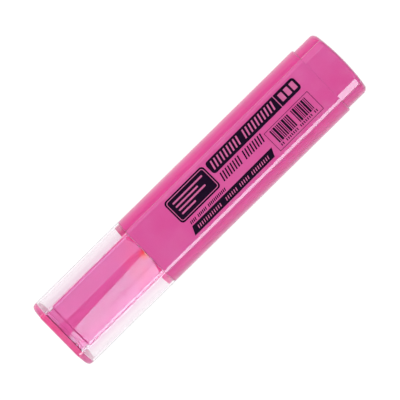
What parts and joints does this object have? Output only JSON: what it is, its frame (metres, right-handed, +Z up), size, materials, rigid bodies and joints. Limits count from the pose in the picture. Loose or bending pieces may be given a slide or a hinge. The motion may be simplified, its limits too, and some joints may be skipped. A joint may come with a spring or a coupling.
{
  "type": "highlighter",
  "caption": "Flat highlighter pen with a translucent pink barrel, raised panels on both faces, a clear pull-off cap over a pink inner cap, and a chisel nib.",
  "frame": {"origin": "on the surface it lies on, under the middle of the capped pen", "axes": "+X along the pen towards the writing end, +Y across its width, +Z up out of the printed broad face"},
  "size_m": [0.12, 0.025, 0.015],
  "materials": {
    "barrel_pink": "translucent pink, gloss",
    "plug_pink": "translucent pink, gloss",
    "section_pink": "translucent pink, gloss",
    "nib_fibre": "ink-soaked fibre, matt",
    "core_fibre": "ink-soaked fibre, matt",
    "wrap_film": "thin clear film",
    "tube_plastic": "milky tube",
    "cap_clear": "water-clear, gloss",
    "plate_pink": "fluorescent pink, gloss",
    "inner_pink": "translucent pink, gloss"
  },
  "bodies": {
    "pen": {"barrel": "barrel_pink", "rear_plug": "plug_pink", "front_section": "section_pink", "nib": "nib_fibre", "reservoir_core": "core_fibre", "reservoir_film": "wrap_film", "breather_tube": "tube_plastic"},
    "cap": {"cap_sleeve": "cap_clear", "cap_end_plate": "plate_pink", "inner_cap": "inner_pink"}
  },
  "joints": [
    {"name": "cap_pull", "type": "slide", "parent": "pen", "child": "cap", "axis": [1, 0, 0], "range_m": [0, 0.06]}
  ]
}
